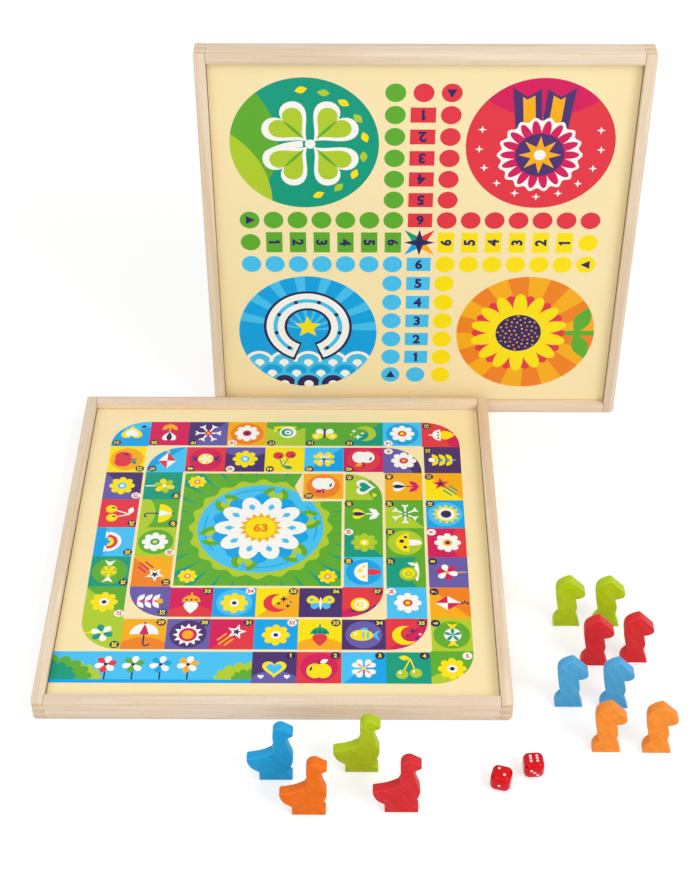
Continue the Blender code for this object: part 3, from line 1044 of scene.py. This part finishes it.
def squareness(tree, axis):
    """How squarely a face looks along an axis of its object, from 0 to 1."""
    normal = node(tree, "TexCoord").outputs["Normal"]
    parts = node(tree, "SeparateXYZ", {"Vector": normal})
    return node(tree, "Math", {0: parts.outputs[axis]}, operation="ABSOLUTE").outputs["Value"]


def beech_material(name, axis):
    """Sanded, varnished beech with its grain along one axis of the frame."""
    look = settings().beech
    material, tree, shader = new_material(name, Specular_IOR_Level=0.28)
    along = Vector([1.0 if k == axis else 0.0 for k in range(3)])
    across = Vector((1, 1, 1)) - along
    broad = speckle(tree, detail=5, stretch=5 * along + 90 * across, rough=0.5, distortion=0.8)
    fine = speckle(tree, detail=6, stretch=14 * along + 620 * across, rough=0.6, distortion=0.3)
    flecks = speckle(tree, detail=2, stretch=260 * along + 1900 * across)
    wood = patched(tree, broad, (0.36, 0.66), look.pale, look.warm)
    wood = patched(tree, fine, (0.34, 0.72), wood, look.warm, 0.55, "MULTIPLY")
    wood = patched(tree, flecks, (0.63, 0.72), wood, look.fleck, 0.5)
    end = patched(tree, speckle(tree, 1400.0), (0.4, 0.62), look.end, look.fleck, 0.5)
    wood = patched(tree, squareness(tree, axis), (0.7, 0.92), wood, end)
    rough = look.roughness - 0.06, look.roughness + 0.1
    surface(tree, shader, wood, fine, rough, bump=(0.14, 0.0003))
    return material


PAPER_SPECK = (0.72, 0.68, 0.62)
PAPER_CLOUD = (0.8, 0.76, 0.7)


def print_material(name):
    """Glossy printed sheet: the ink of each face, with a little paper tooth."""
    material, tree, shader = new_material(name, Specular_IOR_Level=0.25)
    ink = node(tree, "Attribute", attribute_name="ink").outputs["Color"]
    tooth = speckle(tree, 700.0)
    cloud = speckle(tree, 24.0, detail=2)
    shade = patched(tree, tooth, (0.3, 0.75), ink, PAPER_SPECK, 0.1, "MULTIPLY")
    shade = patched(tree, cloud, (0.35, 0.7), shade, PAPER_CLOUD, 0.06, "MULTIPLY")
    surface(tree, shader, shade, tooth, rough=(0.3, 0.42), bump=(0.04, 0.0002))
    return material


def hardboard_material(name):
    """Pressed brown fibreboard."""
    look = settings().panel
    material, tree, shader = new_material(name)
    fibres = speckle(tree, 900.0, detail=6)
    brown = patched(tree, fibres, (0.35, 0.7), look.brown, look.dark)
    surface(tree, shader, brown, fibres, rough=(0.6, 0.85), bump=(0.3, 0.0003))
    return material


# Axis that the faces of the pawns' planks look along
PLANK_AXIS = 1


def paint_material(name, colour):
    """Thin satin paint on sawn plank: the grain shows through, the sawn sides carry painted light
    in a tone of their own, and the eased edges carry a painted highlight.
    """
    look = settings().pawns
    material, tree, shader = new_material(name, Specular_IOR_Level=0.12)
    slant = look.grain_turn
    rings = speckle(
        tree, detail=2, stretch=(420, 420, 46), rough=0.5, distortion=0.7, slant=slant
    )
    grain = speckle(
        tree, detail=6, stretch=(1500, 1500, 130), rough=0.6, distortion=0.4, slant=slant
    )
    deep = toned(colour, 0.76)
    pale = toned(colour, 1.08, 0.012)
    # Painted light: the sawn sides, tops included, get this tone in place of the light that falls
    # on them.
    sawn = toned(colour, 0.98, 0.012)
    # Painted highlight: a paler tone for the eased edges, in place of the light that catches them.
    edge_highlight_tone = toned(colour, 1.15, 0.05)
    paint = patched(tree, rings, (0.38, 0.64), colour, pale)
    paint = patched(tree, speckle(tree, 190.0), (0.4, 0.72), paint, deep, 0.35)
    facing = squareness(tree, PLANK_AXIS)
    # The sawn sides take their painted-light tone here, by how squarely each face looks along the
    # plank.
    paint = mixed(tree, ramp(tree, facing, (0.35, 1.0), (0.95, 0.0)), paint, sawn)
    paint = patched(tree, grain, (0.5, 0.74), paint, deep, 0.5)
    # Painted highlight along the eased edges, between the plank's faces and its sawn sides.
    edge_highlight_mask = ramp(tree, facing, (0.12, 0.0), (0.38, 0.6), (0.78, 0.6), (0.97, 0.0))
    paint = mixed(tree, edge_highlight_mask, paint, edge_highlight_tone)
    rough = look.roughness - 0.06, look.roughness + 0.12
    surface(tree, shader, paint, grain, rough, bump=(0.1, 0.0003))
    return material


def plastic_material(name, colour, roughness):
    """Moulded and polished, with faint swirls."""
    material, tree, shader = new_material(name, Specular_IOR_Level=0.16)
    swirl = speckle(tree, 260.0, distortion=1.2)
    tint = patched(tree, swirl, (0.4, 0.7), colour, toned(colour, 0.82))
    rough = roughness, roughness + 0.08
    surface(tree, shader, tint, swirl, rough, bump=(0.02, 0.0002))
    return material


# Pieces

CREASE = math.radians(35)
SHARP_EDGE = math.radians(50)
SAME_PLANE = math.radians(1)
STRAIGHT_RUN = math.radians(0.2)
SAME_POINT = 1e-6
RAIL_EASE_STEPS = 2
BODY_OF = {
    member: body
    for body, members in frame["record"]["behaviour"]["bodies"].items()
    for member in members
}


def add_piece(name, mesh, material):
    """An object of one material."""
    mesh.materials.clear()
    mesh.materials.append(material)
    return new_object(name, mesh)


def settle(piece, solid):
    """The piece takes the solid's place and body, and the solid is hidden."""
    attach(piece, BODY_OF[solid])
    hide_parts(solid)


def smooth_rounds(mesh):
    mesh.shade_smooth()
    mesh.set_sharp_from_angle(angle=CREASE)


def cleaned(mesh, angle):
    """A mesh with its doubled points and needless edges taken out, to be worked on."""
    bm = bmesh.new()
    bm.from_mesh(mesh)
    bmesh.ops.remove_doubles(bm, verts=bm.verts, dist=SAME_POINT)
    bmesh.ops.dissolve_limit(bm, angle_limit=angle, verts=bm.verts, edges=bm.edges)
    return bm


def round_edges(bm, edges, radius, steps):
    bmesh.ops.bevel(
        bm,
        geom=edges,
        offset=radius,
        segments=steps,
        profile=0.5,
        affect="EDGES",
        clamp_overlap=True,
    )


def ease_sharp_edges(bm, radius, steps):
    sharp = [edge for edge in bm.edges if edge.calc_face_angle(0) > SHARP_EDGE]
    round_edges(bm, sharp, radius, steps)


def refined_copy(solid, name, ease):
    """The solid's mesh with clean flat faces and its sharp edges eased."""
    bm = cleaned(frame["nodes"][solid].data, SAME_PLANE)
    ease_sharp_edges(bm, ease, RAIL_EASE_STEPS)
    mesh = mesh_of(bm, name)
    smooth_rounds(mesh)
    return mesh


# Outlines of the pawns, facing right, on a grid that is scaled to each solid
CORNER = "VECTOR"
SMOOTH = "AUTO"
GOOSE_OUTLINE = (
    (0.0, 0.0, CORNER), (24.2, 0.0, CORNER), (24.2, 4.2, CORNER), (20.6, 6.2, CORNER),
    (22.6, 11.0, SMOOTH), (25.0, 19.0, SMOOTH), (22.6, 27.4, SMOOTH), (19.8, 37.6, CORNER),
    (25.4, 40.6, CORNER), (25.4, 43.0, CORNER), (21.4, 45.3, SMOOTH), (16.4, 47.4, SMOOTH),
    (12.0, 45.0, SMOOTH), (10.7, 40.0, SMOOTH), (11.2, 30.0, SMOOTH), (9.4, 25.0, CORNER),
    (2.2, 21.4, SMOOTH), (-7.8, 19.2, CORNER), (-8.7, 18.4, CORNER), (-8.6, 16.6, CORNER),
    (-5.6, 11.0, SMOOTH), (0.0, 7.2, CORNER),
)
HORSE_OUTLINE = (
    (0.0, 0.0, CORNER), (21.2, 0.0, CORNER), (16.6, 15.2, CORNER), (17.6, 20.8, SMOOTH),
    (16.8, 26.8, SMOOTH), (15.6, 32.2, CORNER), (20.0, 33.4, SMOOTH), (22.4, 35.8, SMOOTH),
    (22.8, 38.7, SMOOTH), (21.9, 41.2, CORNER), (10.9, 53.4, CORNER), (7.4, 52.3, SMOOTH),
    (3.8, 50.0, SMOOTH), (0.8, 46.6, SMOOTH), (-0.2, 41.6, SMOOTH), (0.4, 33.0, SMOOTH),
    (2.1, 22.0, SMOOTH), (4.4, 13.8, CORNER), (1.2, 9.2, SMOOTH), (0.0, 5.0, SMOOTH),
)
OUTLINE_STEPS = 8


def plank_mesh(name, outline, solid):
    """An outline sawn from plank, as large as its solid and in its place, with eased edges."""
    low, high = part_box(solid)
    size = high - low
    look = settings().pawns
    curve = bpy.data.curves.new(name, "CURVE")
    curve.dimensions = "2D"
    curve.fill_mode = "BOTH"
    curve.extrude = size.y / 2
    curve.resolution_u = OUTLINE_STEPS
    spline = curve.splines.new("BEZIER")
    spline.bezier_points.add(len(outline) - 1)
    spline.use_cyclic_u = True
    along = size.x / (max(x for x, _, _ in outline) - min(x for x, _, _ in outline))
    up = size.z / max(z for _, z, _ in outline)
    for point, (x, z, kind) in zip(spline.bezier_points, outline):
        point.co = (x * along, z * up, 0)
        point.handle_left_type = kind
        point.handle_right_type = kind
    sawn = final_mesh(new_object(name, curve))
    bm = cleaned(sawn, STRAIGHT_RUN)
    bpy.data.meshes.remove(sawn)
    bmesh.ops.transform(bm, matrix=Matrix.Rotation(math.pi / 2, 4, "X"), verts=bm.verts)
    bmesh.ops.recalc_face_normals(bm, faces=bm.faces)
    ease_sharp_edges(bm, look.ease, look.ease_steps)
    made_low = Vector([min(vert.co[k] for vert in bm.verts) for k in range(3)])
    bmesh.ops.translate(bm, verts=bm.verts, vec=low - made_low)
    mesh = mesh_of(bm, name)
    smooth_rounds(mesh)
    return mesh


# Pips in units of their pitch on a face's own two axes, and the side that each number is on
PIPS = {
    1: ((0, 0),),
    2: ((-1, 1), (1, -1)),
    3: ((-1, 1), (0, 0), (1, -1)),
    4: ((-1, -1), (-1, 1), (1, -1), (1, 1)),
    5: ((-1, -1), (-1, 1), (1, -1), (1, 1), (0, 0)),
    6: ((-1, -1), (0, -1), (1, -1), (-1, 1), (0, 1), (1, 1)),
}
DIE_FACES = {
    2: (0, 0, 1),
    5: (0, 0, -1),
    1: (0, -1, 0),
    6: (0, 1, 0),
    3: (-1, 0, 0),
    4: (1, 0, 0),
}
DIE_TURNS = {
    "die_1": Quaternion((0, 0, 1), math.radians(-16)),
    "die_2": Quaternion((0, 0, 1), math.radians(4)) @ Quaternion((1, 1, 1), math.radians(120)),
}
DIE_ROUND_STEPS = 7
PIP_FINENESS = 3
DIE_ROUGHNESS = 0.08
PIP_ROUGHNESS = 0.3


def pip_balls(side):
    """Balls that dip into each face and leave its dimples."""
    look = settings().dice
    radius = (look.pip_wide**2 / 4 + look.pip_deep**2) / (2 * look.pip_deep)
    height = side / 2 + radius - look.pip_deep
    bm = bmesh.new()
    for count, normal in DIE_FACES.items():
        turn = Vector((0, 0, 1)).rotation_difference(Vector(normal)).to_matrix().to_4x4()
        for across, up in PIPS[count]:
            ball = bmesh.ops.create_icosphere(bm, subdivisions=PIP_FINENESS, radius=radius)
            seat = Matrix.Translation((across * look.pip_pitch, up * look.pip_pitch, height))
            bmesh.ops.transform(bm, matrix=turn @ seat, verts=ball["verts"])
    return mesh_of(bm, "pip_balls")


def die_mesh(name, side, body, pips):
    """A cube with round edges whose dimples are painted."""
    bm = bmesh.new()
    bmesh.ops.create_cube(bm, size=side)
    round_edges(bm, list(bm.edges), settings().dice.round, DIE_ROUND_STEPS)
    cube = new_object(name + "_cube", mesh_of(bm, name))
    cube.data.materials.append(body)
    balls = new_object(name + "_balls", pip_balls(side))
    balls.data.materials.append(pips)
    dimples = cube.modifiers.new("dimples", "BOOLEAN")
    dimples.operation = "DIFFERENCE"
    dimples.solver = "EXACT"
    dimples.material_mode = "TRANSFER"
    dimples.object = balls
    mesh = final_mesh(cube)
    bpy.data.batch_remove((balls, balls.data))
    smooth_rounds(mesh)
    return mesh


class GAMESET_OT_rails(bpy.types.Operator):
    """Beech rails of both boards, with eased edges and the grain along each rail"""

    bl_idname = "gameset.rails"
    bl_label = "Rails"

    def execute(self, context):
        ease = settings().beech.ease
        woods = [beech_material(f"beech_along_{axis}", k) for k, axis in enumerate("xyz")]
        for solid in sorted(frame["nodes"]):
            if not solid.endswith("_rail"):
                continue
            low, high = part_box(solid)
            size = high - low
            axis = max(range(3), key=lambda k: size[k])
            name = solid.replace("_rail", "_beech_rail")
            settle(add_piece(name, refined_copy(solid, name, ease), woods[axis]), solid)
        return {"FINISHED"}


class GAMESET_OT_panels(bpy.types.Operator):
    """Hardboard panels that the prints lie on"""

    bl_idname = "gameset.panels"
    bl_label = "Panels"

    def execute(self, context):
        hardboard = hardboard_material("hardboard")
        for solid in ("goose_board_panel", "ludo_board_panel"):
            panel = frame["nodes"][solid]
            if not panel.material_slots:
                panel.data.materials.append(hardboard)
            panel.material_slots[0].material = hardboard
        return {"FINISHED"}


def print_place(solid, right, up):
    """Half the sheet's width, its thickness, and the matrix of its shown face."""
    low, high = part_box(solid)
    right, up = Vector(right), Vector(up)
    out = right.cross(up)
    centre = (low + high) / 2
    size = high - low
    thick = abs(size.dot(out))
    half = abs(size.dot(right)) / 2
    centre += out * thick / 2
    turn = Matrix((right, up, out)).transposed().to_4x4()
    return half, thick, Matrix.Translation(centre) @ turn


def add_prints(game, draw, places):
    """One game's printed sheet on the board that shows it and on the other one's reverse."""
    material = print_material(f"{game}_print")
    sheet = Sheet()
    half, thick, _ = print_place(*places[0][1:])
    draw(sheet, half)
    printed = sheet.mesh(f"{game}_sheet", thick)
    for name, solid, right, up in places:
        piece = add_piece(name, printed.copy(), material)
        piece.matrix_world = print_place(solid, right, up)[2]
        settle(piece, solid)


class GAMESET_OT_goose_prints(bpy.types.Operator):
    """Goose game on the lying board, and on the back of the standing one"""

    bl_idname = "gameset.goose_prints"
    bl_label = "Goose prints"

    def execute(self, context):
        places = (
            ("goose_game_sheet", "goose_board_goose_print", (1, 0, 0), (0, 1, 0)),
            ("reverse_goose_game_sheet", "ludo_board_reverse_goose_print", (-1, 0, 0), (0, 0, 1)),
        )
        add_prints("goose", draw_goose_game, places)
        return {"FINISHED"}


class GAMESET_OT_ludo_prints(bpy.types.Operator):
    """Ludo game on the standing board, and on the underside of the lying one"""

    bl_idname = "gameset.ludo_prints"
    bl_label = "Ludo prints"

    def execute(self, context):
        places = (
            ("ludo_game_sheet", "ludo_board_ludo_print", (1, 0, 0), (0, 0, 1)),
            ("reverse_ludo_game_sheet", "goose_board_reverse_ludo_print", (-1, 0, 0), (0, 1, 0)),
        )
        add_prints("ludo", draw_ludo_game, places)
        return {"FINISHED"}


def add_pawns(kind, outline):
    """Every pawn of a kind, in its own paint."""
    for solid in sorted(frame["nodes"]):
        if solid.startswith(kind + "_pawn"):
            paint = f"{kind}_{solid.split('_')[2]}"
            known = bpy.data.materials.get(paint + "_paint")
            material = known or paint_material(paint + "_paint", getattr(settings().pawns, paint))
            name = "painted_" + solid
            settle(add_piece(name, plank_mesh(name, outline, solid), material), solid)


class GAMESET_OT_geese(bpy.types.Operator):
    """Goose pawns sawn from plank and painted"""

    bl_idname = "gameset.geese"
    bl_label = "Goose pawns"

    def execute(self, context):
        add_pawns("goose", GOOSE_OUTLINE)
        return {"FINISHED"}


class GAMESET_OT_horses(bpy.types.Operator):
    """Horse pawns sawn from plank and painted"""

    bl_idname = "gameset.horses"
    bl_label = "Horse pawns"

    def execute(self, context):
        add_pawns("horse", HORSE_OUTLINE)
        return {"FINISHED"}


class GAMESET_OT_dice(bpy.types.Operator):
    """Glossy dice with painted dimples"""

    bl_idname = "gameset.dice"
    bl_label = "Dice"

    def execute(self, context):
        look = settings().dice
        body = plastic_material("dice_plastic", look.body, DIE_ROUGHNESS)
        pips = plastic_material("pip_paint", look.pip, PIP_ROUGHNESS)
        for solid, turn in DIE_TURNS.items():
            low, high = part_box(solid)
            name = "glossy_" + solid
            piece = new_object(name, die_mesh(name, (high - low).z, body, pips))
            piece.matrix_world = Matrix.Translation((low + high) / 2) @ turn.to_matrix().to_4x4()
            settle(piece, solid)
        return {"FINISHED"}


WHITE = (1, 1, 1, 1)
FLOOR_HALF = 6
FLOOR_LEVEL = -0.0002
KEY_PLACE = (1.6, -1.4, 1.6)
KEY_WIDE = 1.4
FILL_PLACE = (-1.1, -1.7, 2.0)
FILL_WIDE = 1.8
LAMP_AIM = (0, 0, 0.1)


def add_lamp(name, place, wide, power):
    lamp = bpy.data.lights.new(name, "AREA")
    lamp.shape = "DISK"
    lamp.size = wide
    lamp.energy = power
    obj = new_object(name, lamp)
    obj.location = place
    obj.visible_camera = False
    obj.rotation_mode = "QUATERNION"
    obj.rotation_quaternion = (Vector(LAMP_AIM) - Vector(place)).to_track_quat("-Z", "Y")


def seen_ray(tree):
    """1 for what the camera sees, also in gloss and through glass, and 0 for light on pieces."""
    rays = node(tree, "LightPath").outputs
    seen = rays["Is Camera Ray"]
    for kind in ("Is Glossy Ray", "Is Transmission Ray"):
        seen = node(tree, "Math", {0: seen, 1: rays[kind]}, operation="MAXIMUM").outputs["Value"]
    return seen


def board_centre():
    low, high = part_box("goose_board_goose_print")
    centre = (low + high) / 2
    return Vector((centre.x, centre.y, 0))


def add_camera(look):
    camera = bpy.data.cameras.new("camera")
    camera.sensor_width = SENSOR_WIDE
    camera.lens = look.focal_pixels / IMAGE_LONG_SIDE * SENSOR_WIDE
    obj = new_object("camera", camera)
    obj.location = board_centre() + Vector(look.eye)
    obj.rotation_euler = (math.pi / 2 - look.pitch, 0, look.yaw)
    bpy.context.scene.camera = obj


def add_floor(look):
    bm = bmesh.new()
    bmesh.ops.create_grid(bm, x_segments=1, y_segments=1, size=FLOOR_HALF)
    material, tree, shader = new_material(
        "pale_floor", Roughness=0.9, Specular_IOR_Level=0.0, Emission_Color=WHITE
    )
    glow = node(tree, "MapRange", {"Value": seen_ray(tree), "To Max": look.floor_white})
    tree.links.new(glow.outputs["Result"], shader.inputs["Emission Strength"])
    tone = speckle(tree, 3.0, detail=2)
    pale = patched(tree, tone, (0.3, 0.7), look.floor, toned(look.floor, 0.995))
    tree.links.new(pale, shader.inputs["Base Color"])
    floor = add_piece("floor", mesh_of(bm, "floor"), material)
    floor.location.z = FLOOR_LEVEL
    floor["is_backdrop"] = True


def add_surround(look):
    world = bpy.data.worlds.new("surround")
    world.use_nodes = True
    tree = world.node_tree
    background = tree.nodes["Background"]
    background.inputs["Color"].default_value = WHITE
    strength = node(tree, "MapRange", {"Value": seen_ray(tree), "To Min": look.sky_strength})
    tree.links.new(strength.outputs["Result"], background.inputs["Strength"])
    bpy.context.scene.world = world


class GAMESET_OT_stage(bpy.types.Operator):
    """Pale floor, soft light and the camera"""

    bl_idname = "gameset.stage"
    bl_label = "Stage"

    def execute(self, context):
        look = settings().stage
        add_camera(look)
        add_floor(look)
        add_surround(look)
        add_lamp("key_lamp", KEY_PLACE, KEY_WIDE, look.key_power)
        add_lamp("fill_lamp", FILL_PLACE, FILL_WIDE, look.fill_power)
        context.scene.view_settings.view_transform = "Standard"
        return {"FINISHED"}


class GAMESET_PT_panel(bpy.types.Panel):
    """Lists what makes the set, in order"""

    bl_label = "Goose and ludo set"
    bl_idname = "GAMESET_PT_panel"
    bl_space_type = "VIEW_3D"
    bl_region_type = "UI"
    bl_category = "Game set"

    def draw(self, context):
        for step in STEPS:
            self.layout.operator(step.bl_idname)
        for group in GooseLudoSettings.__annotations__:
            box = self.layout.box()
            box.label(text=group.capitalize())
            values = getattr(settings(), group)
            for name in values.__annotations__:
                box.prop(values, name)


STEPS = (
    GAMESET_OT_stage,
    GAMESET_OT_rails,
    GAMESET_OT_panels,
    GAMESET_OT_goose_prints,
    GAMESET_OT_ludo_prints,
    GAMESET_OT_geese,
    GAMESET_OT_horses,
    GAMESET_OT_dice,
)
CLASSES = (
    PrintInks,
    GooseTrack,
    LudoCross,
    BeechFinish,
    PanelFinish,
    PawnFinish,
    DiceFinish,
    StageLook,
    GooseLudoSettings,
    *STEPS,
    GAMESET_PT_panel,
)


def register():
    for each in CLASSES:
        bpy.utils.register_class(each)
    bpy.types.Scene.goose_ludo = PointerProperty(type=GooseLudoSettings)


def unregister():
    del bpy.types.Scene.goose_ludo
    for each in reversed(CLASSES):
        bpy.utils.unregister_class(each)


def main():
    register()
    for step in STEPS:
        area, name = step.bl_idname.split(".")
        getattr(getattr(bpy.ops, area), name)()
    boxes = {"cad": CAD_BOX, "visual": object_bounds()}
    {key: [list(corner) for corner in box] for key, box in boxes.items()}


if __name__ == "__main__":
    main()
